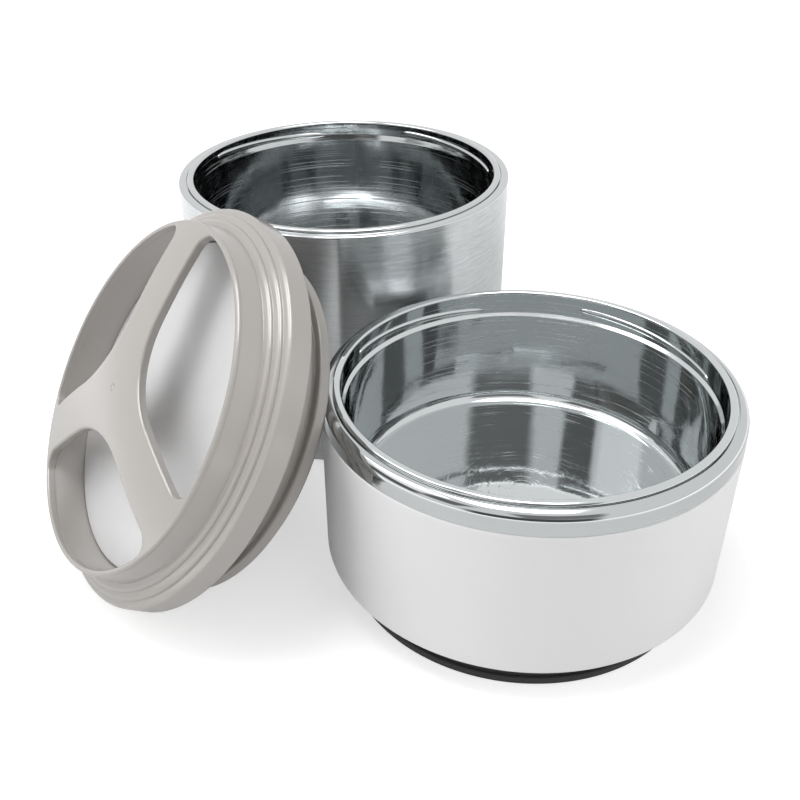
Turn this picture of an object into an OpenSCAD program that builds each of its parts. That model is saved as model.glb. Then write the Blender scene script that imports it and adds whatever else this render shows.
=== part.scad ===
// Insulated lunch set: a steel pot, a steel-lined bowl and one lid that closes either of them.
// Millimetres, +Z up. The origin is the middle of the bowl's foot, on the table.
// The pot stands behind the bowl, and the lid leans on the bowl's rim.

/* [Mouth] */
// Diameter of the mouth, the same on both containers so that one lid fits them
mouth_d = 126.4; // [120:0.4:134]
// Width of the rolled lip
lip_w = 2.8; // [2.4:0.1:3.3]
// How far the lip stands up from the groove round it
lip_rise = 1.0; // [0.8:0.1:1.2]
// Depth of the lid's step below the lip
step_drop = 8.5; // [7.5:0.1:9.5]
// Width of the step
step_w = 1.2; // [0.9:0.1:1.4]
// Thickness of the pressed steel sheet
sheet = 0.9; // [0.7:0.1:1]

/* [Bowl] */
// Height of the bowl from the table to its lip
bowl_h = 77; // [70:0.5:84]
// Height of the bowl's inner floor above the table
bowl_floor = 30.5; // [26:0.5:35]
// Radius where the bowl's inner wall meets its floor
bowl_corner = 4; // [3:0.5:8]
// Draft of the bowl's inner wall, on the radius
bowl_draft = 1.4; // [0.8:0.1:2]
// Width of the groove between the lip and the rim band
groove_w = 0.6; // [0.4:0.1:0.9]
// Radius of the rim band's shoulder
band_round = 3.2; // [2.8:0.1:3.8]
// Height of the steel rim band, from the jacket's top edge to its groove
band_h = 7.8; // [6.8:0.1:9]
// How far the jacket stands out past the band
jacket_out = 0.2; // [0.1:0.05:0.4]
// How much the jacket narrows in diameter towards its lower edge
jacket_draft = 0.6; // [0:0.1:1.2]
// Wall of the moulded jacket
jacket_wall = 2.2; // [1.8:0.1:2.6]
// Height of the jacket's lower edge above the table
skirt_z = 13; // [11:0.5:15]
// Thickness of the rubber foot pad
pad_h = 2.6; // [2.2:0.2:3.6]
// Radius of the foot pad's edges
pad_round = 0.6; // [0.4:0.1:0.9]

/* [Pot] */
// Height of the pot from the table to its lip
pot_h = 103.2; // [92:0.4:116]
// Height of the pot's inner floor above the table
pot_floor = 17.2; // [12:0.4:22]
// Width of the steel ring from the lip to the outside of the pot's wall
pot_ring_w = 3.4; // [3:0.1:4]
// Radius where the pot's inner wall meets its floor
pot_corner = 8; // [5:0.5:12]

/* [Lid] */
// How far the lid's band stands out past the bowl's jacket
lid_over = 0.9; // [0.4:0.1:1.2]
// How far the collar flares out from the top ring
collar_flare = 1.2; // [0.9:0.1:1.5]
// Step outwards from one rib to the next
rib_step = 2.6; // [2.4:0.1:2.8]
// Width of the top ring between its edge and the finger windows
ring_w = 1.9; // [1.7:0.1:2.3]
// Rise of the domed grip above the top ring
dome_h = 7; // [5:0.5:9]
// Thickness of the three-spoke grip
grip_t = 3.2; // [2.6:0.1:3.8]
// Width of one spoke
spoke_w = 18.4; // [16:0.2:21]
// Radius of the curve from spoke to spoke at the hub
hub_round = 36; // [28:1:42]
// Radius of the windows' outer corners
window_round = 5; // [4:0.5:7]
// Depth of the recess from the top ring to the metal disc
recess = 14; // [12:0.5:15]
// Depth of the soft ring's channel under the cover's floor
channel_h = 4.3; // [3.6:0.1:5]
// Height of the band
band_w = 8.7; // [8:0.1:9.4]
// Number of stepped ribs between collar and band
ribs = 2; // [1:1:2]
// Height of the plug from the band down to its flange's underside
plug_h = 15.2; // [14.4:0.1:16]
// Height of the flange round the plug
flange_h = 4.1; // [3.6:0.1:4.6]
// How far the plug's end stands out past its flange
end_h = 2.4; // [2:0.1:3]

/* [Fits] */
// Gap on the radius between the lid's plug and the step inside the mouth
plug_gap = 0.7; // [0.5:0.1:0.9]
// Gap on the radius between the bowl's foot and the pot's mouth, for stacking
nest_gap = 0.9; // [0.8:0.1:1.2]
// Gap between round walls inside one container
seam = 0.3; // [0.2:0.05:0.4]
// Gap where the lid leans on the bowl's rim
lean_gap = 0.3; // [0.3:0.1:0.6]

/* [Placing] */
// Least gap between the bowl and the pot
pot_gap = 4.5; // [4:0.1:8]
// Least gap between the lid and the pot
pot_lid_gap = 3; // [2:0.1:6]
// Compass direction of the pot from the bowl
pot_turn = 116.495; // [114:0.005:120]
// Tilt of the lid's axis from upright
lid_tilt = 55.75; // [55:0.25:57]
// Compass direction that the lid's top faces
lid_turn = -152.4; // [-154:0.2:-151]
// Turn of the grip about the lid's axis
lid_spin = 14.1; // [0:0.1:119]

/* [Hidden] */
$fn = 96;

mouth_r = mouth_d / 2;
wall_r = mouth_r - step_w;
lip_r = mouth_r + lip_w;
band_r = lip_r + groove_w + band_round;
jacket_r = band_r + jacket_out;
jacket_low_r = jacket_r - jacket_draft / 2;
groove_z = bowl_h - lip_rise;
jacket_z = groove_z - band_h;
seat_z = bowl_h - 2 * sheet;
flange_t = 2.4;
flange_r = jacket_low_r - 19.7;
foot_r = mouth_r - nest_gap;
cup_r = foot_r - 1.0;
cup_t = 2.4;
pot_r = lip_r + pot_ring_w;
pot_seat_z = pot_h - 2 * sheet;
pot_flange_r = pot_r - 6;
pot_step_drop = step_drop - 2.5;
pot_wall_r = mouth_r - step_w / 2;
ring_z = pot_seat_z - 0.2;

lid_r = jacket_r + lid_over;
collar_r = lid_r - rib_step * (ribs + 1);
ring_r = collar_r - collar_flare;
window_r = ring_r - ring_w;
dome_edge = ring_r - ring_w / 2;
dome_r = (dome_edge * dome_edge + dome_h * dome_h) / (2 * dome_h);
window_z = -grip_t - 2;
recess_draft = 0.9;
// How far a round end runs past the straight side that it joins
ease = 0.04;
disc_t = 1;
floor_t = 2;
floor_z = -recess - disc_t;
cover_floor_z = floor_z - floor_t;
cover_h = channel_h - cover_floor_z;
rib_h = 1.8;
rib_top = cover_h - band_w - rib_h * ribs;
skirt_r = lid_r - 2.4;
plug_r = wall_r - plug_gap;
neck_r = plug_r - 2.7;
plug_z = -cover_h - plug_h;
end_z = plug_z - end_h;
plug_wall = 2.4;

// The lid stands on its flange, and the round edge of the plug's end leans on the band's round shoulder.
// The two rounds are rings, so the touching spot is where the line between their middles is square to both.
edge_r = 0.8;
touch_rise = 1.87;
shoulder_z = groove_z - band_round;
reach = band_round + lean_gap + edge_r;
reach_out = sqrt(reach * reach - touch_rise * touch_rise);
touch_r = band_r - band_round + reach_out;
lid_axis = [sin(lid_tilt) * cos(lid_turn), sin(lid_tilt) * sin(lid_turn), cos(lid_tilt)];
lid_right = [-sin(lid_turn), cos(lid_turn), 0];
lid_up = [-cos(lid_tilt) * cos(lid_turn), -cos(lid_tilt) * sin(lid_turn), sin(lid_tilt)];
lid_z = max([for (ring = [[plug_r, plug_z], [neck_r, end_z], [lid_r, -cover_h]])
    edge_r - (ring[1] + edge_r) * lid_axis[2] + (ring[0] - edge_r) * lid_up[2]]);
lean_edge = asin((shoulder_z + touch_rise - lid_z - (end_z + edge_r) * lid_axis[2])
    / ((neck_r - edge_r) * lid_up[2]));
edge_run = cos(lean_edge) * lid_up - sin(lean_edge) * lid_right;
lean_side = atan2(edge_run[1], edge_run[0])
    + acos(-edge_run[2] * touch_rise / (reach_out * norm([edge_run[0], edge_run[1]])));
edge_mid = (end_z + edge_r) * lid_axis
    + (neck_r - edge_r) * (cos(lean_edge) * lid_right + sin(lean_edge) * lid_up);
lid_x = touch_r * cos(lean_side) - edge_mid[0];
lid_y = touch_r * sin(lean_side) - edge_mid[1];

// The pot stands in its own direction from the bowl, as near as the bowl and the lid's widest rings allow.
pot_way = [cos(pot_turn), sin(pot_turn)];
pot_clear = pot_r + pot_lid_gap;
lid_reach = [for (ring = [[plug_r, plug_z], [lid_r, -cover_h]]) for (a = [0:5:355])
    let (p = [lid_x, lid_y, lid_z] + ring[1] * lid_axis + ring[0] * (cos(a) * lid_right + sin(a) * lid_up))
    let (off = p[0] * pot_way[1] - p[1] * pot_way[0])
    if (abs(off) < pot_clear && p[2] < pot_h)
        p[0] * pot_way[0] + p[1] * pot_way[1] + sqrt(pot_clear * pot_clear - off * off)];
pot_reach = max(concat([jacket_r + pot_r + pot_gap], lid_reach));
pot_x = pot_reach * pot_way[0];
pot_y = pot_reach * pot_way[1];

// Turns a half profile (x is the radius) into a round solid.
module turned() {
    rotate_extrude() intersection() {
        translate([0, -200]) square([200, 400]);
        children();
    }
}

// A rectangle from one corner to the opposite one.
module slab(low, high) {
    translate(low) square(high - low);
}

// A bar from the axis out to radius r, with round outer edges.
module round_bar(r, low, high, edge) {
    slab([0, low], [r - edge, high]);
    slab([0, low + edge], [r, high - edge]);
    for (z = [low + edge, high - edge]) translate([r - edge, z]) circle(edge);
}

// The rolled lip of a container: a flat bar with two round edges.
module rolled_lip(top) {
    for (x = [mouth_r + sheet, lip_r - sheet]) translate([x, top - sheet]) circle(sheet);
    slab([mouth_r + sheet, top - 2 * sheet], [lip_r - sheet, top]);
}

// The space inside a liner, as a half profile grown by g: neck, step, drafted wall, round corner, floor.
module liner_space(top, floor_at, drop, upper, lower, corner, g) {
    polygon([[0, floor_at - g], [lower - corner, floor_at - g], [lower + g, floor_at + corner],
        [upper + g, top - drop - 1.2 - g / 2], [mouth_r + g, top - drop - g / 2], [mouth_r + g, top + 5],
        [0, top + 5]]);
    translate([lower - corner, floor_at + corner]) circle(corner + g);
}

// A pressed liner: the grown space less the space itself, with the rolled lip on its neck.
module liner(top, floor_at, drop, upper, lower, corner) {
    turned() union() {
        difference() {
            liner_space(top, floor_at, drop, upper, lower, corner, sheet);
            liner_space(top, floor_at, drop, upper, lower, corner, 0);
            slab([0, top - sheet], [200, top + 10]);
        }
        rolled_lip(top);
    }
}

module bowl_space(g) {
    liner_space(bowl_h, bowl_floor, step_drop, wall_r, wall_r - bowl_draft, bowl_corner, g);
}

module pot_space(g) {
    liner_space(pot_h, pot_floor, pot_step_drop, pot_wall_r, pot_wall_r, pot_corner, g);
}

// Moulded white jacket with an inward flange at its lower edge
module bowl_jacket() {
    color([0.93, 0.93, 0.93]) turned() difference() {
        union() {
            polygon([[0, skirt_z + 1], [jacket_low_r, skirt_z + 1], [jacket_r, jacket_z], [0, jacket_z]]);
            translate([jacket_low_r - 1, skirt_z + 1]) circle(1);
            slab([0, skirt_z], [jacket_low_r - 1, skirt_z + 1]);
        }
        slab([-1, skirt_z + flange_t], [jacket_low_r - jacket_wall, jacket_z + 1]);
        slab([-1, skirt_z - 1], [flange_r, jacket_z + 1]);
    }
}

// Pressed and polished steel inner bowl
module bowl_liner() {
    color([0.72, 0.74, 0.74])
        liner(bowl_h, bowl_floor, step_drop, wall_r, wall_r - bowl_draft, bowl_corner);
}

// Steel band with a round shoulder; the liner's lip sits on its inner ledge
module bowl_rim_band() {
    x0 = band_r - band_round;
    z0 = groove_z - band_round;
    color([0.75, 0.77, 0.77]) turned() union() {
        difference() {
            union() {
                translate([x0, z0]) circle(band_round);
                slab([x0, jacket_z], [band_r, z0]);
            }
            translate([x0, z0]) circle(band_round - sheet);
            slab([0, jacket_z - 1], [band_r - sheet, z0]);
            slab([0, jacket_z - 1], [x0, groove_z + 1]);
        }
        slab([mouth_r + sheet + seam, seat_z - sheet], [x0 + 0.9, seat_z]);
    }
}

// Foam between jacket and liner
module bowl_insulation() {
    color([0.93, 0.88, 0.70]) turned() difference() {
        slab([0, skirt_z + flange_t], [jacket_low_r - jacket_wall - seam, jacket_z - 2]);
        bowl_space(sheet + seam);
    }
}

// Black plastic cup that closes the underside and stacks into the pot's mouth
module bowl_base_cup() {
    color([0.05, 0.05, 0.05]) turned() difference() {
        slab([0, pad_h], [cup_r, skirt_z]);
        slab([-1, pad_h + cup_t], [cup_r - cup_t, skirt_z + 1]);
    }
}

// Rubber pad with round edges
module bowl_foot_pad() {
    color([0.09, 0.09, 0.09]) turned() round_bar(foot_r, 0, pad_h, pad_round);
}

// Brushed steel wall with a turned-in lower edge
module pot_outer_shell() {
    edge = 1.2;
    color([0.70, 0.72, 0.72]) translate([pot_x, pot_y, 0]) turned() difference() {
        union() {
            slab([0, edge], [pot_r, ring_z]);
            translate([pot_r - edge, edge]) circle(edge);
            slab([0, 0], [pot_r - edge, edge]);
        }
        slab([-1, sheet], [pot_r - sheet, ring_z + 1]);
        slab([-1, -1], [pot_flange_r, ring_z + 1]);
    }
}

// Pressed steel inner pot
module pot_liner() {
    color([0.66, 0.68, 0.68]) translate([pot_x, pot_y, 0])
        liner(pot_h, pot_floor, pot_step_drop, pot_wall_r, pot_wall_r, pot_corner);
}

// Steel ring that joins shell and liner; the liner's lip sits on its inner ledge
module pot_rim_ring() {
    top = pot_h - lip_rise;
    round_r = top - ring_z;
    color([0.74, 0.76, 0.76]) translate([pot_x, pot_y, 0]) turned() union() {
        intersection() {
            union() {
                translate([pot_r + 0.15 - round_r, ring_z]) circle(round_r);
                slab([lip_r + seam, ring_z], [pot_r + 0.15 - round_r, top]);
            }
            slab([0, ring_z], [200, top]);
        }
        slab([mouth_r + sheet + seam, pot_seat_z - sheet], [pot_r - sheet - seam, pot_seat_z]);
    }
}

// Foam between the pot's shell and liner
module pot_insulation() {
    color([0.93, 0.88, 0.70]) translate([pot_x, pot_y, 0]) turned() difference() {
        slab([0, 2 * sheet], [pot_r - sheet - seam, pot_h - 8]);
        pot_space(sheet + seam);
    }
}

// Steel disc that lies on the shell's turned-in edge
module pot_base_plate() {
    color([0.62, 0.64, 0.64]) translate([pot_x, pot_y, 0]) turned()
        slab([0, sheet], [pot_r - sheet - seam, 2 * sheet]);
}

// Sets a lid piece down in the lid's leaning place.
module leaning() {
    translate([lid_x, lid_y, lid_z]) rotate([0, lid_tilt, lid_turn]) children();
}

// One finger window with its middle along +X: straight along the spokes, a round end at the hub,
// the ring's own curve outside, and a round corner at each outer end.
module window() {
    half = spoke_w / 2;
    hub_mid = (half + hub_round - ease) / sin(60);
    near = hub_mid * cos(60);
    far = 2 * ring_r;
    off = half + window_round - ease;
    along = sqrt(pow(window_r - window_round + ease, 2) - off * off);
    difference() {
        intersection() {
            circle(window_r);
            union() {
                polygon([for (end = [[near, -1], [far, -1], [far, 1], [near, 1]])
                    [end[0] * cos(60) + half * sin(60), end[1] * (end[0] * sin(60) - half * cos(60))]]);
                translate([hub_mid, 0]) circle(hub_round);
            }
        }
        for (side = [0, 1]) mirror([0, side, 0]) rotate(60) difference() {
            polygon([[along, -off], 1.3 * [along, -off], [1.3 * along, 0], [along, 0]]);
            translate([along, -off]) circle(window_round);
        }
    }
}

function rib_r(k) = collar_r + k * rib_step;
function rib_z(k) = -rib_top - rib_h * (k - 1);

// Half profile of the lid's outside: dome, ring, flared collar, stepped ribs and band.
module cover_profile() {
    ring_round = ring_w / 2;
    rib_round = 1.1;
    top_round = 1.4;
    low_round = 0.8;
    intersection() {
        translate([0, dome_h - dome_r]) circle(dome_r, $fn = 360);
        slab([0, -ring_w], [ring_r - ring_round, dome_h + 1]);
    }
    translate([ring_r - ring_round, -ring_round]) circle(ring_round);
    polygon(concat([[0, -cover_h], [lid_r - low_round, -cover_h], [lid_r, -cover_h + low_round],
            [lid_r, band_w - cover_h - top_round], [lid_r - top_round, band_w - cover_h]],
        [for (k = [ribs:-1:1]) each [[rib_r(k), rib_z(k + 1)], [rib_r(k), rib_z(k) - rib_round],
            [rib_r(k) - rib_round, rib_z(k)]]],
        [[collar_r, rib_z(1)], [ring_r - 0.1, -ring_round - 0.4], [0, -ring_round - 0.4]]));
    for (k = [1:ribs]) translate([rib_r(k) - rib_round, rib_z(k) - rib_round]) circle(rib_round);
    translate([lid_r - top_round, band_w - cover_h - top_round]) circle(top_round);
    translate([lid_r - low_round, low_round - cover_h]) circle(low_round);
}

// The recess under the dome: a drafted wall from the windows down to the disc's seat.
module recess_profile() {
    intersection() {
        polygon([[0, floor_z], [window_r - recess_draft, floor_z], [window_r - 0.05, window_z],
            [window_r - 0.05, dome_h], [0, dome_h]]);
        translate([0, dome_h - dome_r]) circle(dome_r - grip_t, $fn = 360);
    }
}

// Moulded cover: domed grip, ring, collar, ribs and band in one piece, with three finger windows
module lid_cover() {
    color([0.68, 0.65, 0.62]) leaning() difference() {
        turned() difference() {
            cover_profile();
            recess_profile();
            slab([-1, -cover_h - 1], [skirt_r, cover_floor_z]);
        }
        for (k = [0:2]) rotate(lid_spin + 120 * k) translate([0, 0, window_z])
            linear_extrude(dome_h - window_z + 1) window();
    }
}

// Satin metal disc on the floor of the recess
module lid_disc() {
    color([0.82, 0.82, 0.83]) leaning() turned()
        slab([0, floor_z], [window_r - recess_draft - seam, -recess]);
}

// Plug that goes down into the mouth: neck, flange, and a closed end with a round edge
module lid_plug() {
    color([0.62, 0.59, 0.56]) leaning() turned() difference() {
        union() {
            slab([0, plug_z + 1], [neck_r, cover_floor_z]);
            round_bar(plug_r, plug_z, plug_z + flange_h, edge_r);
            round_bar(neck_r, end_z, plug_z + flange_h / 2, edge_r);
        }
        slab([-1, end_z + plug_wall], [neck_r - plug_wall, cover_floor_z + 1]);
    }
}

// Foam that fills the plug
module lid_insulation() {
    color([0.93, 0.88, 0.70]) leaning() turned()
        slab([0, end_z + plug_wall], [neck_r - plug_wall - seam, cover_floor_z]);
}

// Soft ring in the channel under the band, where the container's lip presses
module lid_gasket() {
    color([0.80, 0.80, 0.78]) leaning() turned()
        slab([neck_r + seam, -cover_h + 1.6], [skirt_r - seam, cover_floor_z]);
}

bowl_jacket();
bowl_liner();
bowl_rim_band();
bowl_insulation();
bowl_base_cup();
bowl_foot_pad();
pot_outer_shell();
pot_liner();
pot_rim_ring();
pot_insulation();
pot_base_plate();
lid_cover();
lid_disc();
lid_plug();
lid_insulation();
lid_gasket();
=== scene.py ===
import math

import bmesh
import bpy
from mathutils import Matrix, Vector


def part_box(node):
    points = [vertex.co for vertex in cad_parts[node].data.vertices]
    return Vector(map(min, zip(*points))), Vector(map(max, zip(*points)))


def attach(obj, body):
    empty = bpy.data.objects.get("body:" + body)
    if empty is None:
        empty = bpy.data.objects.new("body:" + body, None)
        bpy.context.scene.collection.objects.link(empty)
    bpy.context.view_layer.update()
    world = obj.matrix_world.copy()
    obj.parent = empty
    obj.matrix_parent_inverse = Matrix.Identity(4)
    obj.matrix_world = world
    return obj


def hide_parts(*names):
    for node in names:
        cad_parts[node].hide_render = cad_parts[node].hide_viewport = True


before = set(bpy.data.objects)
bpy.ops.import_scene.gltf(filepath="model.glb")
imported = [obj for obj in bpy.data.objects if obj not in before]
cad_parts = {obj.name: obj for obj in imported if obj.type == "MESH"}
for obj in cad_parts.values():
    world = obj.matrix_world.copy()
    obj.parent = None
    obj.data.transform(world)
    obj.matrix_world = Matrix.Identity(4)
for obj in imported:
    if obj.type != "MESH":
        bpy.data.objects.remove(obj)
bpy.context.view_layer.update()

# Sizes are in millimetres and angles in degrees unless a comment says otherwise; the scene is in metres.
MM = 0.001
MICRON = 0.001 * MM

SHEET = 0.9
MOUTH, LIP, LEDGE = 63.2, 66.0, 64.4
CUT_EDGE = 0.2

# The lid's heights, from the edge of its grip down, and the way it leans.
DISC_TOP, RECESS_FLOOR, COVER_FLOOR, COVER_LOW = -14.0, -15.0, -17.0, -21.3
DISC_MIDDLE = (DISC_TOP + RECESS_FLOOR) / 2
LID_TILT, LID_TURN, GRIP_SPIN = 55.75, -152.4, 14.1


# Places: each container and the lid has its own axis.

def upright(node):
    """Straight up from the ground under a node's middle."""
    low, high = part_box(node)
    middle = (low + high) / 2
    return Matrix.Translation((middle.x, middle.y, 0))


def leaning():
    """The lid's tilted axis, through the middle of its disc."""
    low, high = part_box("lid_disc")
    tilt = Matrix.Rotation(math.radians(LID_TILT), 4, "Y")
    turn = Matrix.Rotation(math.radians(LID_TURN), 4, "Z") @ tilt
    axis = turn @ Vector((0, 0, 1))
    return Matrix.Translation((low + high) / 2 - axis * DISC_MIDDLE * MM) @ turn


BOWL_PLACE = upright("bowl_jacket")
POT_PLACE = upright("pot_outer_shell")
LID_PLACE = leaning()
LID_SPIN_PLACE = LID_PLACE @ Matrix.Rotation(math.radians(GRIP_SPIN), 4, "Z")


# Materials: a value in a graph of nodes, the graph, and a finish that is laid out about a piece's axis.

class Value:
    """What a socket gives. Arithmetic on it adds Math nodes to its graph."""

    def __init__(self, graph, socket):
        self.graph = graph
        self.socket = socket

    def math(self, operation, other=0.0):
        return self.graph.node("ShaderNodeMath", {"operation": operation}, {0: self, 1: other})

    def __add__(self, other):
        return self.math("ADD", other)

    def __sub__(self, other):
        return self.math("SUBTRACT", other)

    def __mul__(self, other):
        return self.math("MULTIPLY", other)

    def __pow__(self, other):
        return self.math("POWER", other)

    __radd__ = __add__

    def band(self, zero, one):
        """0 on one side, 1 on the other, and smooth between the two values given."""
        return self.graph.node("ShaderNodeMapRange", {"interpolation_type": "SMOOTHSTEP"}, {
            "Value": self, "From Min": zero, "From Max": one})

    def split(self):
        """The three lengths that make up a vector."""
        made = self.graph.node("ShaderNodeSeparateXYZ", sockets={"Vector": self}).socket.node
        return [Value(self.graph, socket) for socket in made.outputs]


class Graph:
    """The node tree of a material or a world."""

    def __init__(self, owner):
        owner.use_nodes = True
        self.tree = owner.node_tree

    def fill(self, node, sockets):
        """Gives a node's sockets their values or links."""
        for key, value in sockets.items():
            if isinstance(value, Value):
                self.tree.links.new(value.socket, node.inputs[key])
            else:
                node.inputs[key].default_value = value

    def node(self, kind, settings=None, sockets=None, out=0):
        """Adds a node with its settings and its sockets' values, and returns what it gives."""
        made = self.tree.nodes.new(kind)
        for key, value in (settings or {}).items():
            setattr(made, key, value)
        self.fill(made, sockets or {})
        return Value(self, made.outputs[out])


class Finish(Graph):
    """A material whose patterns are laid out about one piece's own axis, in metres."""

    def __init__(self, name, place, constants):
        self.material = bpy.data.materials.new(name)
        super().__init__(self.material)
        self.shader = self.tree.nodes["Principled BSDF"]
        self.feed(constants)
        here = self.node("ShaderNodeTexCoord", out="Object")
        self.point = self.node("ShaderNodeMapping", {"vector_type": "TEXTURE"}, {
            "Vector": here, "Location": place.to_translation(), "Rotation": place.to_euler()})
        self.x, self.y, self.z = self.point.split()
        self.radius = (self.x * self.x + self.y * self.y) ** 0.5

    def feed(self, sockets):
        self.fill(self.shader, sockets)

    def bearing(self):
        """The angle round the axis, in radians."""
        return self.y.math("ARCTAN2", self.x)

    def cloud(self, scale, detail, vector=None):
        sockets = {"Vector": vector or self.point, "Scale": scale, "Detail": detail}
        return self.node("ShaderNodeTexNoise", sockets=sockets)

    def streaks(self, detail, x, y, z):
        """A cloud that is drawn out: each way has its own scale."""
        return self.cloud(1.0, detail, self.node("ShaderNodeCombineXYZ", sockets={"X": x, "Y": y, "Z": z}))

    def lines(self, along, per_metre, detail):
        """Fine lines across the given length."""
        return self.node("ShaderNodeTexNoise", {"noise_dimensions": "1D"}, {
            "W": along, "Scale": per_metre, "Detail": detail})

    def mixed(self, share, first, second):
        """A colour between two others, by a share from 0 to 1."""
        return self.node("ShaderNodeMix", {"data_type": "RGBA"}, {0: share, 6: first, 7: second}, out=2)

    def bump(self, *layers):
        """Layers of (height from 0 to 1, depth in metres), one over the other."""
        normal = {}
        for height, depth in layers:
            sockets = {"Height": height, "Distance": depth, "Strength": 1.0}
            normal = {"Normal": self.node("ShaderNodeBump", sockets={**sockets, **normal})}
        self.feed(normal)


def colour(tone, share=1.0):
    """A tone, or a share of it, in the form that a socket takes."""
    return (*(share * level for level in tone), 1.0)


# Tool marks run round each piece, so its reflections spread across them: a quarter turn.
ACROSS = 0.25


def spun_steel(name, place, tone, rough, sheen):
    """Pressed and polished sheet with the rings of the spinning tool."""
    f = Finish(name, place, {"Metallic": 1.0, "Anisotropic": sheen, "Anisotropic Rotation": ACROSS})
    rings = f.lines(f.radius + f.z, 1000, 3)
    wide_rings = f.lines(f.radius + f.z, 260, 2)
    breaks = f.streaks(2, f.bearing() * 3, f.radius * 40, f.z * 40)
    arcs = rings.band(0.5, 0.75) * breaks.band(0.4, 0.65)
    haze = f.cloud(38, 4)
    waves = f.cloud(26, 2)
    wipes = f.streaks(3, f.x * 900, f.y * 120, f.z * 500).band(0.62, 0.78)
    f.feed({
        "Base Color": f.mixed(rings * 0.35 + haze * 0.5, colour(tone, 0.93), colour(tone)),
        "Roughness": rough + arcs * 0.33 + haze.band(0.45, 0.75) * 0.035 + wipes * 0.05})
    f.bump((waves, 400 * MICRON), (wide_rings, 8 * MICRON), (rings, 5 * MICRON))
    return f.material


def brushed_steel(name, place, tone, rough):
    """Sheet brushed round its circumference: short fine scratches that lie along the wall."""
    f = Finish(name, place, {"Metallic": 1.0, "Anisotropic": 0.9, "Anisotropic Rotation": ACROSS})
    bearing = f.bearing()
    short = f.streaks(3, bearing * 16, f.z * 2600, f.radius * 600)
    long = f.streaks(2, bearing * 4, f.z * 900, f.radius * 300)
    haze = f.cloud(24, 3)
    dents = f.cloud(18, 1)
    scratch = short * 0.6 + long * 0.4
    f.feed({
        "Base Color": f.mixed(scratch.band(0.3, 0.7), colour(tone, 0.8), colour(tone)),
        "Roughness": rough + scratch * 0.12 + haze * 0.05})
    f.bump((dents, 120 * MICRON), (scratch, 6 * MICRON))
    return f.material


def moulded(name, place, tone, rough, grain, depth, wear, gloss=0.5, gate=0.0):
    """Moulded plastic or rubber: fine grain, faint flow clouds, rubbed places, and the dimple of its gate."""
    f = Finish(name, place, {"IOR": 1.49, "Specular IOR Level": gloss})
    fine = f.cloud(grain, 2)
    flow = f.cloud(22, 3)
    rub = f.cloud(60, 5).band(0.56, 0.7)
    scuff = f.streaks(4, f.x * 260, f.y * 900, f.z * 1500).band(0.7, 0.86)
    f.feed({
        "Base Color": f.mixed(flow * 0.6 + scuff * 0.1 + fine * 0.1, colour(tone), colour(tone, wear)),
        "Roughness": rough + fine * 0.05 + flow * 0.05 - rub * 0.03 + scuff * 0.03})
    layers = [(flow, 40 * MICRON), (fine, depth)]
    if gate:
        layers.append((f.radius.band(0.5 * gate, gate), 400 * MICRON))
    f.bump(*layers)
    return f.material


def satin_disc(name, place, tone):
    """Satin aluminium under a thin clear coat: cloudy, with a very fine blasted grain."""
    f = Finish(name, place, {"Metallic": 0.5})
    blast = f.cloud(2600, 2)
    cloud = f.cloud(70, 5)
    stain = f.cloud(24, 2).band(0.4, 0.75)
    f.feed({
        "Base Color": f.mixed(cloud * 0.55 + stain * 0.3, colour(tone), colour(tone, 0.86)),
        "Roughness": 0.46 + cloud * 0.14 + blast * 0.08})
    f.bump((cloud, 40 * MICRON), (blast, 6 * MICRON))
    return f.material


def foam_finish(name, place, dark, pale):
    """Cells of foam, dark in the middle and pale at their walls."""
    f = Finish(name, place, {"Roughness": 0.9})
    cells = f.node("ShaderNodeTexVoronoi", sockets={"Vector": f.point, "Scale": 700.0}, out="Distance")
    f.feed({"Base Color": f.mixed(cells, colour(dark), colour(pale))})
    f.bump((cells, 400 * MICRON))
    return f.material


# The band's steel is the liner's steel made darker: painted shade, so that the band's reflection of the
# ground beside the bowl comes out dark.
STEEL, SHADED_BAND_STEEL = (0.62, 0.645, 0.65), (0.56, 0.58, 0.585)
POT_STEEL, POT_WALL_STEEL = (0.585, 0.605, 0.61), (0.64, 0.665, 0.675)
WHITE, SATIN_WHITE, RING_WHITE = (1, 1, 1), (0.775, 0.775, 0.78), (0.60, 0.60, 0.585)
BASE_BLACK, FOOT_BLACK = (0.012, 0.012, 0.012), (0.03, 0.03, 0.03)
GREIGE, DISC_METAL = (0.375, 0.356, 0.336), (0.74, 0.74, 0.745)
# The plug's greige is the cover's greige made a little darker: painted shade for the plug, which faces the
# bowl in the lid's shadow.
SHADED_PLUG_GREIGE = tuple(0.97 * level for level in GREIGE)
FOAM_DARK, FOAM_PALE = (0.62, 0.52, 0.30), (0.86, 0.77, 0.52)

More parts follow.
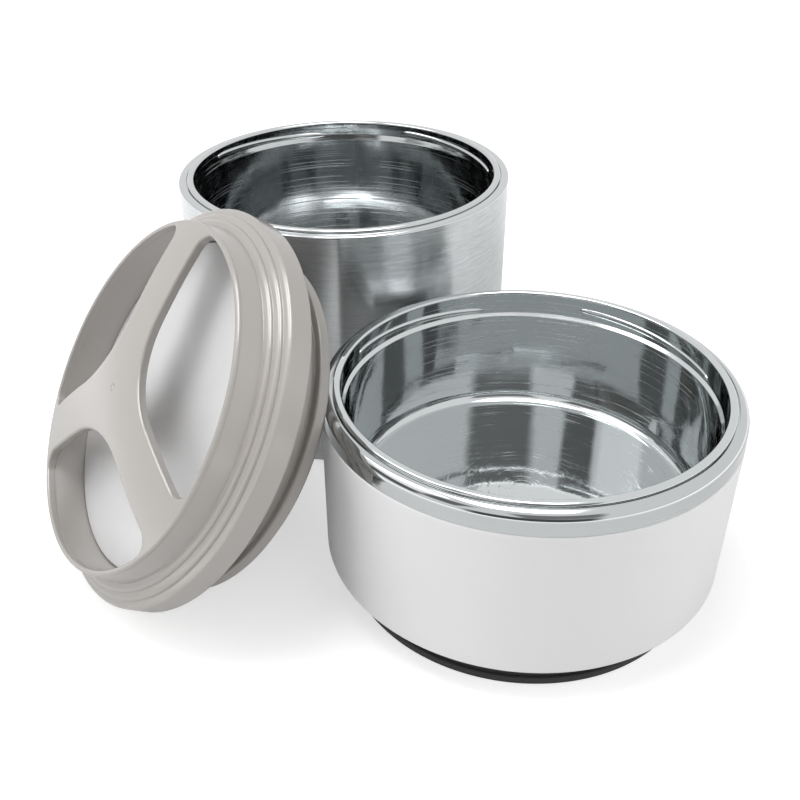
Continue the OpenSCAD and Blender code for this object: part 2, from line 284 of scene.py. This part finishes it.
finishes = {
    "bowl_steel": spun_steel("bowl_steel", BOWL_PLACE, STEEL, rough=0.045, sheen=0.35),
    "bowl_band_steel": spun_steel("bowl_band_steel", BOWL_PLACE, SHADED_BAND_STEEL, rough=0.06, sheen=0.2),
    "pot_steel": spun_steel("pot_steel", POT_PLACE, POT_STEEL, rough=0.06, sheen=0.4),
    "pot_wall_steel": brushed_steel("pot_wall_steel", POT_PLACE, POT_WALL_STEEL, rough=0.16),
    "white_satin": moulded("white_satin", BOWL_PLACE, SATIN_WHITE,
                           rough=0.36, grain=2400, depth=6 * MICRON, wear=0.97),
    "black_base": moulded("black_base", BOWL_PLACE, BASE_BLACK,
                          rough=0.42, grain=1800, depth=10 * MICRON, wear=1.3),
    "black_foot": moulded("black_foot", BOWL_PLACE, FOOT_BLACK,
                          rough=0.62, grain=1500, depth=20 * MICRON, wear=1.3),
    "greige": moulded("greige", LID_PLACE, GREIGE,
                      rough=0.15, grain=2200, depth=4 * MICRON, wear=0.95, gloss=1.0, gate=1.6 * MM),
    "plug_greige": moulded("plug_greige", LID_PLACE, SHADED_PLUG_GREIGE,
                           rough=0.3, grain=2200, depth=5 * MICRON, wear=0.93),
    "satin_disc": satin_disc("satin_disc", LID_PLACE, DISC_METAL),
    "soft_ring": moulded("soft_ring", LID_PLACE, RING_WHITE,
                         rough=0.6, grain=1600, depth=10 * MICRON, wear=0.95),
    "foam": foam_finish("foam", BOWL_PLACE, FOAM_DARK, FOAM_PALE),
}


# Turned pieces: a half outline of (radius, height, corner radius), spun about the piece's axis.

TURN_STEPS = 288
ROUND_STEP, LEAST_ROUND_STEPS = 6, 4
END_GAP, RUN_STEP = 0.2, 5.0
SAME_POINT = 0.5 * MICRON
CREASE = 32


def rounded(corners):
    """The outline's points, with every corner that has a radius made round."""
    points = []
    for i, (x, z, r) in enumerate(corners):
        here = Vector((x, z))
        if r == 0:
            points.append(here)
            continue
        back = (Vector(corners[i - 1][:2]) - here).normalized()
        on = (Vector(corners[(i + 1) % len(corners)][:2]) - here).normalized()
        half = back.angle(on) / 2
        middle = here + (back + on).normalized() * r / math.sin(half)
        first, last = ((here + way * r / math.tan(half) - middle) / r for way in (back, on))
        steps = max(LEAST_ROUND_STEPS, math.ceil(first.angle(last) / math.radians(ROUND_STEP)))
        points += [middle + first.slerp(last, k / steps) * r for k in range(steps + 1)]
    return points


def supported(points):
    """Adds points on the straight runs, so that smooth shading stays true beside a round."""
    filled = []
    for a, b in zip(points, points[1:] + points[:1]):
        filled.append(a)
        run = (b - a).length
        if run > 4 * END_GAP:
            parts = math.ceil((run - 2 * END_GAP) / RUN_STEP)
            shares = [(END_GAP + (run - 2 * END_GAP) * k / parts) / run for k in range(parts + 1)]
            filled += [a.lerp(b, s) for s in shares]
    return filled


def spun(corners):
    bm = bmesh.new()
    points = supported(rounded(corners))
    ring = [bm.verts.new((p.x * MM, 0, p.y * MM)) for p in points]
    for a, b in zip(ring, ring[1:] + ring[:1]):
        if a.co.x > 0 or b.co.x > 0:
            bm.edges.new((a, b))
    bmesh.ops.spin(bm, geom=bm.verts[:] + bm.edges[:], cent=(0, 0, 0), axis=(0, 0, 1),
                   angle=math.tau, steps=TURN_STEPS, use_merge=True)
    return closed(bm)


def closed(bm):
    bmesh.ops.remove_doubles(bm, verts=bm.verts[:], dist=SAME_POINT)
    bmesh.ops.recalc_face_normals(bm, faces=bm.faces[:])
    return bm


def piece(name, bm, place, finish, body, nodes):
    """Makes a mesh the named piece: puts it in its place, and lets it ride on its body."""
    mesh = bpy.data.meshes.new(name)
    bm.transform(place)
    bm.to_mesh(mesh)
    bm.free()
    mesh.shade_smooth()
    mesh.set_sharp_from_angle(angle=math.radians(CREASE))
    mesh.materials.append(finishes[finish])
    made = bpy.data.objects.new(name, mesh)
    bpy.context.scene.collection.objects.link(made)
    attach(made, body)
    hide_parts(*nodes)


def joined(*shells):
    """One bmesh from several closed shells."""
    together = bmesh.new()
    for bm in shells:
        mesh = bpy.data.meshes.new("part")
        bm.to_mesh(mesh)
        bm.free()
        together.from_mesh(mesh)
        bpy.data.meshes.remove(mesh)
    return together


# Drawn pieces: a skin through closed rows of points.

def verts_of(geometry):
    return [g for g in geometry if isinstance(g, bmesh.types.BMVert)]


def next_row(bm, row, places):
    """Extrudes a closed row of points and sets the new row in its places."""
    edges = [bm.edges.get((a, b)) for a, b in zip(row, row[1:] + row[:1])]
    fresh = set(verts_of(bmesh.ops.extrude_edge_only(bm, edges=edges)["geom"]))
    following = [next(e.other_vert(v) for e in v.link_edges if e.other_vert(v) in fresh) for v in row]
    for vert, place in zip(following, places):
        vert.co = place
    return following


def drawn(rows):
    """An open skin through closed rows of points, one row after the other."""
    bm = bmesh.new()
    row = [bm.verts.new(p) for p in rows[0]]
    for a, b in zip(row, row[1:] + row[:1]):
        bm.edges.new((a, b))
    for places in rows[1:]:
        row = next_row(bm, row, places)
    return bm


BEAD_STEPS, OVAL_STEPS, BLUNTNESS = 64, 18, 14


def bead(wall, deep, tall, start, length, high, fall):
    """A raised bead along a round wall: an oval that follows a thread downwards and has blunt round ends."""
    oval = [math.tau * k / OVAL_STEPS for k in range(OVAL_STEPS)]
    rows = []
    for k in range(BEAD_STEPS + 1):
        along = (1 - math.cos(math.pi * k / BEAD_STEPS)) / 2
        share = math.sqrt(max(0.0, 1 - (2 * along - 1) ** BLUNTNESS))
        turn = Matrix.Rotation(math.radians(start - length * along), 3, "Z")
        middle = Vector((wall, 0, high - fall * along))
        spread = [Vector((deep * share * math.cos(a), 0, tall * share * math.sin(a))) for a in oval]
        rows.append([turn @ (middle + s) * MM for s in spread])
    return closed(drawn(rows))


def four_beads(wall, deep, tall, start, length, high, fall):
    return [bead(wall, deep, tall, start + 90 * k, length, high, fall) for k in range(4)]


# The two containers' inner shells.

def inner_shell(lip, floor, step, ledge, wall, low_wall, corner):
    """A pressed inner bowl: floor, drafted wall, stepped neck and rolled lip, with the sheet's thickness."""
    step_round, curl = 0.45, SHEET - 0.02
    seat = lip - 2 * SHEET
    return spun([
        (0, floor, 0), (low_wall, floor, corner), (wall, step - ledge, step_round), (MOUTH, step, step_round),
        (MOUTH, lip, SHEET), (LIP, lip, SHEET), (LIP, seat, curl), (MOUTH + SHEET, seat, 0),
        (MOUTH + SHEET, step - SHEET / 2, 0), (wall + SHEET, step - ledge - SHEET / 2, 0),
        (low_wall + SHEET, floor - SHEET, corner + SHEET), (0, floor - SHEET, 0)])


def neck_beads(foot):
    """The four pressed starts of the thread that the lid turns into, above a height in the neck."""
    return four_beads(MOUTH, deep=0.8, tall=1.2, start=65, length=56, high=foot + 3.6, fall=2.3)


# The bowl.

BOWL_LIP, BOWL_FLOOR, BOWL_STEP = 77.0, 30.5, 68.5
BOWL_SEAT = BOWL_LIP - 2 * SHEET
BAND, BAND_GROOVE, BAND_FOOT, BAND_TOP = 69.8, 66.6, 68.25, 76.0
BAND_ROUND, BAND_INNER_ROUND = 3.2, 2.0
JACKET_LOW, JACKET_HIGH, JACKET_INSIDE, JACKET_HOLE = 69.7, 70.0, 67.5, 50.0
JACKET_FOOT, JACKET_FLANGE, JACKET_TOP = 13.0, 15.4, 68.2
CUP, CUP_INSIDE, CUP_FLOOR = 61.3, 58.9, 5.0
PAD, PAD_TOP, PAD_ROUND = 62.3, 2.6, 0.6

bowl_shell = inner_shell(BOWL_LIP, BOWL_FLOOR, BOWL_STEP, ledge=1.2, wall=62.0, low_wall=60.6, corner=4.0)
piece("bowl_inner_steel", joined(bowl_shell, *neck_beads(BOWL_STEP)), BOWL_PLACE,
      "bowl_steel", "bowl", ["bowl_liner"])
piece("bowl_band", spun([
    (BAND, BAND_FOOT, CUT_EDGE), (BAND, BAND_TOP, BAND_ROUND), (BAND_GROOVE, BAND_TOP, CUT_EDGE),
    (BAND_GROOVE, BOWL_SEAT, 0), (LEDGE, BOWL_SEAT, 0), (LEDGE, BOWL_SEAT - SHEET, 0),
    (BAND - SHEET, BOWL_SEAT - SHEET, BAND_INNER_ROUND), (BAND - SHEET, BAND_FOOT, CUT_EDGE)]), BOWL_PLACE,
    "bowl_band_steel", "bowl", ["bowl_rim_band"])
piece("bowl_white_jacket", spun([
    (JACKET_HOLE, JACKET_FOOT, 0), (JACKET_LOW, JACKET_FOOT, 1.0), (JACKET_HIGH, JACKET_TOP, 0.4),
    (JACKET_INSIDE, JACKET_TOP, 0), (JACKET_INSIDE, JACKET_FLANGE, 0), (JACKET_HOLE, JACKET_FLANGE, 0)]),
    BOWL_PLACE, "white_satin", "bowl", ["bowl_jacket"])
piece("bowl_black_cup", spun([
    (0, PAD_TOP, 0), (CUP, PAD_TOP, 0.4), (CUP, JACKET_FOOT, 0), (CUP_INSIDE, JACKET_FOOT, 0),
    (CUP_INSIDE, CUP_FLOOR, 0), (0, CUP_FLOOR, 0)]), BOWL_PLACE,
    "black_base", "bowl", ["bowl_base_cup"])
piece("bowl_black_pad", spun([
    (0, 0, 0), (PAD, 0, PAD_ROUND), (PAD, PAD_TOP, PAD_ROUND), (0, PAD_TOP, 0)]), BOWL_PLACE,
    "black_foot", "bowl", ["bowl_foot_pad"])

# The pot.

POT_LIP, POT_FLOOR, POT_STEP = 103.2, 17.2, 97.2
POT_SEAT = POT_LIP - 2 * SHEET
POT, POT_HOLE, POT_WALL_TOP = 69.4, 63.4, 101.2
RING, RING_INSIDE, RING_GROOVE, RING_TOP, RING_ROUND = 69.55, 68.2, 66.3, 102.2, 0.85
POT_BEADS = POT_STEP - 1.2

pot_shell = inner_shell(POT_LIP, POT_FLOOR, POT_STEP, ledge=2.4, wall=62.6, low_wall=62.6, corner=8.0)
piece("pot_inner_steel", joined(pot_shell, *neck_beads(POT_BEADS)), POT_PLACE,
      "pot_steel", "pot", ["pot_liner"])
piece("pot_wall", spun([
    (POT_HOLE, 0, 0.3), (POT, 0, 1.2), (POT, POT_WALL_TOP, 0), (POT - SHEET, POT_WALL_TOP, 0),
    (POT - SHEET, SHEET, 0), (POT_HOLE, SHEET, 0)]), POT_PLACE,
    "pot_wall_steel", "pot", ["pot_outer_shell"])
piece("pot_ring", spun([
    (RING, POT_WALL_TOP, 0.1), (RING, RING_TOP, RING_ROUND), (RING_GROOVE, RING_TOP, CUT_EDGE),
    (RING_GROOVE, POT_SEAT, 0), (LEDGE, POT_SEAT, 0), (LEDGE, POT_SEAT - SHEET, 0),
    (RING_INSIDE, POT_SEAT - SHEET, 0), (RING_INSIDE, POT_WALL_TOP, 0)]), POT_PLACE,
    "pot_steel", "pot", ["pot_rim_ring"])


# The lid's cover: a domed grip with three windows over a ribbed body. One window points along x, and the
# spoke beside it stands at 60 degrees.

GRIP_RISE, GRIP_THICK, GRIP_EDGE = 7.0, 3.2, 60.95
DOME = (GRIP_EDGE ** 2 + GRIP_RISE ** 2) / (2 * GRIP_RISE)
SPOKE_HALF, HUB_ROUND, CORNER_ROUND, WINDOW_EDGE = 9.2, 36.0, 5.0, 60.0
SPOKE_BEARING = 60
SPOKE = Vector((0.5, math.sqrt(0.75)))
ACROSS_SPOKE = Vector((math.sqrt(0.75), -0.5))
CENTRE = Vector((0, 0))
HUB_STEPS, SIDE_STEPS, CORNER_STEPS, OUTER_STEPS = 14, 10, 10, 20


def dome_height(x, y, drop):
    """Height of the dome's skin over a point, for a skin so far below the top one."""
    return GRIP_RISE - DOME + math.sqrt((DOME - drop) ** 2 - x * x - y * y)


def turned_from(middle, radius, degrees):
    return Vector((middle.x + radius * math.cos(math.radians(degrees)),
                   middle.y + radius * math.sin(math.radians(degrees))))


def arc(middle, radius, start, end, steps, last=False):
    """Points on an arc, with or without the last one."""
    return [turned_from(middle, radius, start + (end - start) * k / steps) for k in range(steps + last)]


def bearing_of(point):
    return math.degrees(math.atan2(point.y, point.x))


def half_window(grow):
    """Half of a window's outline, from its middle at the hub to its middle at the ring, grown by so much."""
    hub = Vector(((SPOKE_HALF + HUB_ROUND) / SPOKE.y, 0))
    off = SPOKE_HALF + CORNER_ROUND
    corner = SPOKE * math.sqrt((WINDOW_EDGE - CORNER_ROUND) ** 2 - off ** 2) + ACROSS_SPOKE * off
    to_spoke, end = SPOKE_BEARING + 90, bearing_of(corner)
    near = hub - ACROSS_SPOKE * (HUB_ROUND + grow)
    far = corner - ACROSS_SPOKE * (CORNER_ROUND + grow)
    points = arc(hub, HUB_ROUND + grow, 180, to_spoke, HUB_STEPS)
    points += [near.lerp(far, k / SIDE_STEPS) for k in range(SIDE_STEPS)]
    points += arc(corner, CORNER_ROUND + grow, to_spoke, end, CORNER_STEPS)
    points += arc(CENTRE, WINDOW_EDGE + grow, end, 0, OUTER_STEPS, last=True)
    return points


def half_cell(rim):
    """The points that face a half window's: along the middle of the spoke, then along the rim."""
    edge = half_window(0)
    bend, start = (edge[k].dot(SPOKE) for k in (HUB_STEPS, HUB_STEPS + SIDE_STEPS))
    end = bearing_of(edge[-OUTER_STEPS - 1])
    half = CORNER_STEPS // 2
    points = [SPOKE * bend * k / HUB_STEPS for k in range(HUB_STEPS)]
    points += [SPOKE * p.dot(SPOKE) for p in edge[HUB_STEPS:HUB_STEPS + SIDE_STEPS]]
    points += [SPOKE * (start + (rim - start) * k / half) for k in range(half)]
    points += arc(CENTRE, rim, SPOKE_BEARING, end, half)
    points += arc(CENTRE, rim, end, 0, OUTER_STEPS, last=True)
    return points


def whole(half):
    """A closed outline from its half and the half's mirror image."""
    return half + [Vector((p.x, -p.y)) for p in half[-2:0:-1]]


def skin(outline, drop):
    """An outline's points on the dome's skin, in metres, so far below the top one."""
    return [Vector((p.x, p.y, dome_height(p.x, p.y, drop))) * MM for p in outline]


def between(first, second, share):
    """An outline that lies a share of the way from one outline to another."""
    return [a.lerp(b, share) for a, b in zip(first, second)]


def grip_third(rim, low_rim):
    """A third of the grip, drawn round its window: top skin, rounded edge, side, lower edge, under skin."""
    edge, edge_steps = 0.9, 6
    low_edge, low_edge_steps = 0.5, 4
    skin_steps = 7
    top, under = whole(half_cell(rim)), whole(half_cell(low_rim))
    first, last = whole(half_window(edge)), whole(half_window(low_edge))
    rows = [skin(between(top, first, k / skin_steps), 0) for k in range(skin_steps + 1)]
    for k in range(1, edge_steps + 1):
        turn = math.radians(90 * k / edge_steps)
        rows.append(skin(whole(half_window(edge * (1 - math.sin(turn)))), edge * (1 - math.cos(turn))))
    for share in (0.25, 0.75, 1.0):
        rows.append(skin(whole(half_window(0)), edge + (GRIP_THICK - edge - low_edge) * share))
    for k in range(1, low_edge_steps + 1):
        turn = math.radians(90 * k / low_edge_steps)
        rows.append(skin(whole(half_window(low_edge * (1 - math.cos(turn)))),
                         GRIP_THICK - low_edge * (1 - math.sin(turn))))
    rows += [skin(between(last, under, k / skin_steps), GRIP_THICK) for k in range(1, skin_steps + 1)]
    return drawn(rows)


def grip():
    """The domed grip: its third turned twice, and a rounded lip that joins the rims of its two skins."""
    rim, low_rim = 61.12, 60.6
    lip_edge, lip_round, lip_foot = 61.9, 0.95, (61.2, -2.4)
    bm = grip_third(rim, low_rim)
    third = bm.verts[:] + bm.edges[:] + bm.faces[:]
    for k in (1, 2):
        copy = bmesh.ops.duplicate(bm, geom=third)["geom"]
        bmesh.ops.rotate(bm, verts=verts_of(copy), cent=(0, 0, 0),
                         matrix=Matrix.Rotation(math.radians(120 * k), 3, "Z"))
    bmesh.ops.remove_doubles(bm, verts=bm.verts[:], dist=4 * SAME_POINT)
    lip = [turned_from(Vector((lip_edge - lip_round, -lip_round)), lip_round, a) for a in range(66, -54, -12)]
    lip += [lip_foot, (low_rim, dome_height(low_rim, 0, GRIP_THICK))]
    inside = (rim + low_rim) / 2 * MM
    edges = [e for e in bm.edges if e.is_boundary and all(v.co.xy.length > inside for v in e.verts)]
    for radius, height in lip:
        made = bmesh.ops.extrude_edge_only(bm, edges=edges)["geom"]
        for vert in verts_of(made):
            vert.co = (vert.co.xy.normalized() * radius * MM).to_3d() + Vector((0, 0, height * MM))
        edges = [g for g in made if isinstance(g, bmesh.types.BMEdge)]
    return closed(bm)


def cover_body():
    """The ribbed body under the grip: flared collar, two stepped ribs, the band's step, band and recess."""
    collar, top, step, rib_height, fall, rib_round = 63.1, -9.0, 2.6, 1.8, 0.45, 1.1
    crown_at, crown_drop, crown_round, foot_round = 0.58, 0.25, 2.0, 0.25
    band, wall = collar + 3 * step, 2.4
    under_grip = [(60.4, -1.5, 0), (61.72, -1.3, 0.1)]
    ribs = []
    for k in range(3):
        foot, high = collar + step * k, top - rib_height * k + fall
        ribs += [(foot, high, foot_round), (foot + crown_at * step, high - crown_drop, crown_round),
                 (foot + step, high - 2 * fall, rib_round)]
    skirt = [(band, COVER_LOW, 0.8), (band - wall, COVER_LOW, 0.4), (band - wall, COVER_FLOOR, 0)]
    recess = [(0, COVER_FLOOR, 0), (0, RECESS_FLOOR, 0), (59.1, RECESS_FLOOR, 0.2), (59.98, -3.0, 0)]
    return spun(under_grip + ribs + skirt + recess)


# The lid.

DISC = 58.8
PLUG, PLUG_INSIDE, FLANGE, FLANGE_ROUND = 58.6, 56.2, 61.3, 0.8
PLUG_END, PLUG_FLOOR, FLANGE_TOP = -38.9, -36.5, -32.4
SOFT_RING, SOFT_RING_INSIDE, SOFT_RING_LOW, SOFT_RING_ROUND = 68.2, 58.9, -19.7, 0.3

piece("lid_cover_moulding", joined(grip(), cover_body()), LID_SPIN_PLACE,
      "greige", "lid", ["lid_cover"])
piece("lid_metal_disc", spun([
    (0, RECESS_FLOOR, 0), (DISC, RECESS_FLOOR, 0), (DISC, DISC_TOP, 0.3), (0, DISC_TOP, 0)]), LID_PLACE,
    "satin_disc", "lid", ["lid_disc"])
plug_body = spun([
    (0, PLUG_END, 0), (PLUG, PLUG_END, 0.8), (PLUG, PLUG_FLOOR, 0.4), (FLANGE, PLUG_FLOOR, FLANGE_ROUND),
    (FLANGE, FLANGE_TOP, FLANGE_ROUND), (PLUG, FLANGE_TOP, 0.5), (PLUG, COVER_FLOOR, 0),
    (PLUG_INSIDE, COVER_FLOOR, 0), (PLUG_INSIDE, PLUG_FLOOR, 0), (0, PLUG_FLOOR, 0)])
plug_lugs = four_beads(PLUG, deep=3.6, tall=1.5, start=40, length=26, high=-25, fall=1.1)
piece("lid_plug_moulding", joined(plug_body, *plug_lugs), LID_PLACE,
      "plug_greige", "lid", ["lid_plug"])
piece("lid_soft_ring", spun([
    (SOFT_RING_INSIDE, COVER_FLOOR, 0), (SOFT_RING_INSIDE, SOFT_RING_LOW, SOFT_RING_ROUND),
    (SOFT_RING, SOFT_RING_LOW, SOFT_RING_ROUND), (SOFT_RING, COVER_FLOOR, 0)]), LID_PLACE,
    "soft_ring", "lid", ["lid_gasket"])

# Inner pieces that keep their own shape only take a finish.

for node, finish in (("bowl_insulation", "foam"), ("pot_insulation", "foam"), ("lid_insulation", "foam"),
                     ("pot_base_plate", "pot_wall_steel")):
    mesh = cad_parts[node].data
    mesh.materials.clear()
    mesh.materials.append(finishes[finish])


# Stage, in metres: white ground and white surroundings, soft lamps, and soft cards that show only in
# reflections, where the dark cards are painted shade and the bright ones painted highlights.

MIDDLE = Vector((-0.05, 0.04, 0.05))
GROUND_HALF, GROUND_BELOW = 4.0, 0.0002
SURROUNDINGS = 0.06

# The ground's own glow beside the pieces, for the camera and for what mirrors it; further off it is 1.
GLOW_SEEN, GLOW_MIRRORED = 0.55, 0.16
GLOW_NEAR, GLOW_FAR = 0.25, 0.6

# Each lamp's place, width and height, and its watts.
LAMPS = {
    "left": ((-1.02, -0.2, 0.62), (0.8, 0.8), 6),
    "front_left": ((-0.4, -1.02, 0.5), (0.6, 0.6), 3.6),
    "front": ((0.75, -0.85, 0.55), (0.7, 0.7), 2.6),
    "right": ((0.95, -0.1, 0.5), (0.6, 0.6), 5.4),
    "overhead": ((-0.35, 0.05, 1.05), (0.6, 0.5), 6.6),
}

# The two bearings and the two heights, in degrees from the bowl, that each card spans, and its tone; a dark
# tone is painted shade and a bright one a painted highlight in the reflections.
CARDS = {
    "front_card": ((254, 306), (21, 56), 0.26),
    "low_front_card": ((232, 300), (-8, 25), 0.1),
    "left_card": ((207, 234.5), (21, 56), 0.2),
    "low_left_card": ((176, 214), (8, 33), 0.15),
    "left_painted_highlight": ((163, 209), (33, 61), 1.4),
    "overhead_painted_highlight": ((18, 162), (65, 105), 8),
    "rib_painted_highlight": ((148, 198), (43, 70), 6),
}
CARD_AWAY, CARD_AIM = 0.9, Vector((0, 0, 0.05))
CARD_HALF, CARD_FULL_TO = 0.5, 0.34


def seen_directly(graph):
    """1 for rays from the camera, a mirror or glass, and 0 for rays that only light things."""
    path = graph.node("ShaderNodeLightPath").socket.node
    camera_ray, glossy_ray, glass_ray = (
        Value(graph, path.outputs["Is %s Ray" % kind]) for kind in ("Camera", "Glossy", "Transmission"))
    return camera_ray.math("MAXIMUM", glossy_ray).math("MAXIMUM", glass_ray)


def flat(name, half, material):
    """A flat square that reaches so far to each side."""
    bm = bmesh.new()
    bmesh.ops.create_grid(bm, x_segments=1, y_segments=1, size=half)
    mesh = bpy.data.meshes.new(name)
    bm.to_mesh(mesh)
    bm.free()
    mesh.materials.append(material)
    made = bpy.data.objects.new(name, mesh)
    bpy.context.scene.collection.objects.link(made)
    return made


def facing(place, aim):
    return (aim - place).to_track_quat("-Z", "Y").to_euler()


def white_ground():
    paper = bpy.data.materials.new("white_paper")
    graph = Graph(paper)
    here = graph.node("ShaderNodeTexCoord", out="Object")
    away = graph.node("ShaderNodeVectorMath", {"operation": "LENGTH"}, {0: here}, out="Value")
    camera_ray = graph.node("ShaderNodeLightPath", out="Is Camera Ray")
    beside = graph.node("ShaderNodeMapRange", sockets={
        "Value": camera_ray, "To Min": GLOW_MIRRORED, "To Max": GLOW_SEEN})
    glow = graph.node("ShaderNodeMapRange", sockets={
        "Value": away, "From Min": GLOW_NEAR, "From Max": GLOW_FAR, "To Min": beside, "To Max": 1.0})
    graph.fill(paper.node_tree.nodes["Principled BSDF"], {
        "Base Color": colour(WHITE, 0.7), "Roughness": 0.9, "Emission Color": colour(WHITE),
        "Emission Strength": seen_directly(graph) * glow})
    ground = flat("ground", GROUND_HALF, paper)
    ground.location.z = -GROUND_BELOW


def white_surroundings():
    world = bpy.data.worlds.new("surroundings")
    bpy.context.scene.world = world
    graph = Graph(world)
    seen = seen_directly(graph)
    strength = graph.node("ShaderNodeMapRange", sockets={"Value": seen, "To Min": SURROUNDINGS})
    graph.fill(world.node_tree.nodes["Background"], {"Color": colour(WHITE), "Strength": strength})


def lamp(name, place, size, watts):
    light = bpy.data.lights.new(name, "AREA")
    light.shape, light.size, light.size_y = "RECTANGLE", *size
    light.energy = watts
    made = bpy.data.objects.new(name, light)
    made.location = place
    made.rotation_euler = facing(Vector(place), MIDDLE)
    made.visible_camera = made.visible_glossy = False
    bpy.context.scene.collection.objects.link(made)


def soft_card(tone):
    """A painted shade or painted highlight for reflections: a dark or bright tone that fades out towards the
    edges of a card of unit size.
    """
    paper = bpy.data.materials.new("soft_card")
    graph = Graph(paper)
    nodes = paper.node_tree.nodes
    nodes.remove(nodes["Principled BSDF"])
    x, y, _ = graph.node("ShaderNodeTexCoord", out="Object").split()
    cover_x, cover_y = (side.math("ABSOLUTE").band(CARD_HALF, CARD_FULL_TO) for side in (x, y))
    clear = graph.node("ShaderNodeBsdfTransparent")
    shade = graph.node("ShaderNodeEmission", sockets={"Color": colour(WHITE, tone)})
    mix = graph.node("ShaderNodeMixShader", sockets={0: cover_x * cover_y, 1: clear, 2: shade})
    graph.fill(nodes["Material Output"], {"Surface": mix})
    return paper


def card(name, bearings, heights, tone):
    """A card that shows only in reflections, as painted shade or a painted highlight: it faces the bowl and
    spans two bearings and two heights.
    """
    bearing, height = (math.radians(sum(span) / 2) for span in (bearings, heights))
    turn = Matrix.Rotation(bearing, 3, "Z") @ Matrix.Rotation(-height, 3, "Y")
    made = flat(name, CARD_HALF, soft_card(tone))
    made.location = CARD_AIM + turn @ Vector((CARD_AWAY, 0, 0))
    made.rotation_euler = facing(made.location, CARD_AIM)
    half_wide, half_tall = (math.radians((high - low) / 2) for low, high in (bearings, heights))
    wide, tall = (2 * CARD_AWAY * math.tan(half) for half in (half_wide, half_tall))
    made.scale = (wide * math.cos(height), tall, 1)
    made.visible_camera = made.visible_diffuse = made.visible_shadow = False


white_ground()
white_surroundings()
for name, (place, size, watts) in LAMPS.items():
    lamp(name, place, size, watts)
for name, (bearings, heights, tone) in CARDS.items():
    card(name, bearings, heights, tone)


# Camera: fitted to the rims in the photograph, whose frame is a square of 800 points.

FRAME_POINTS = 800
FOCAL_POINTS = 1002.47
AXIS_POINT = (378.85, 407.20)
PITCH, ROLL = 0.5822, -0.0116  # in radians
CAMERA_PLACE = Vector((-50.6, -282.2, 252.3)) * MM


def camera():
    view = bpy.data.cameras.new("camera")
    view.sensor_width = 36
    view.lens = view.sensor_width * FOCAL_POINTS / FRAME_POINTS
    view.shift_x = 0.5 - AXIS_POINT[0] / FRAME_POINTS
    view.shift_y = AXIS_POINT[1] / FRAME_POINTS - 0.5
    view.clip_start = 0.01
    made = bpy.data.objects.new("camera", view)
    right, up = Vector((1, 0, 0)), Vector((0, math.sin(PITCH), math.cos(PITCH)))
    rolled_right = right * math.cos(ROLL) + up * math.sin(ROLL)
    rolled_up = up * math.cos(ROLL) - right * math.sin(ROLL)
    turn = Matrix((rolled_right, rolled_up, rolled_right.cross(rolled_up))).transposed()
    made.matrix_world = Matrix.Translation(CAMERA_PLACE) @ turn.to_4x4()
    bpy.context.scene.collection.objects.link(made)
    bpy.context.scene.camera = made


camera()
bpy.context.scene.view_settings.view_transform = "Standard"
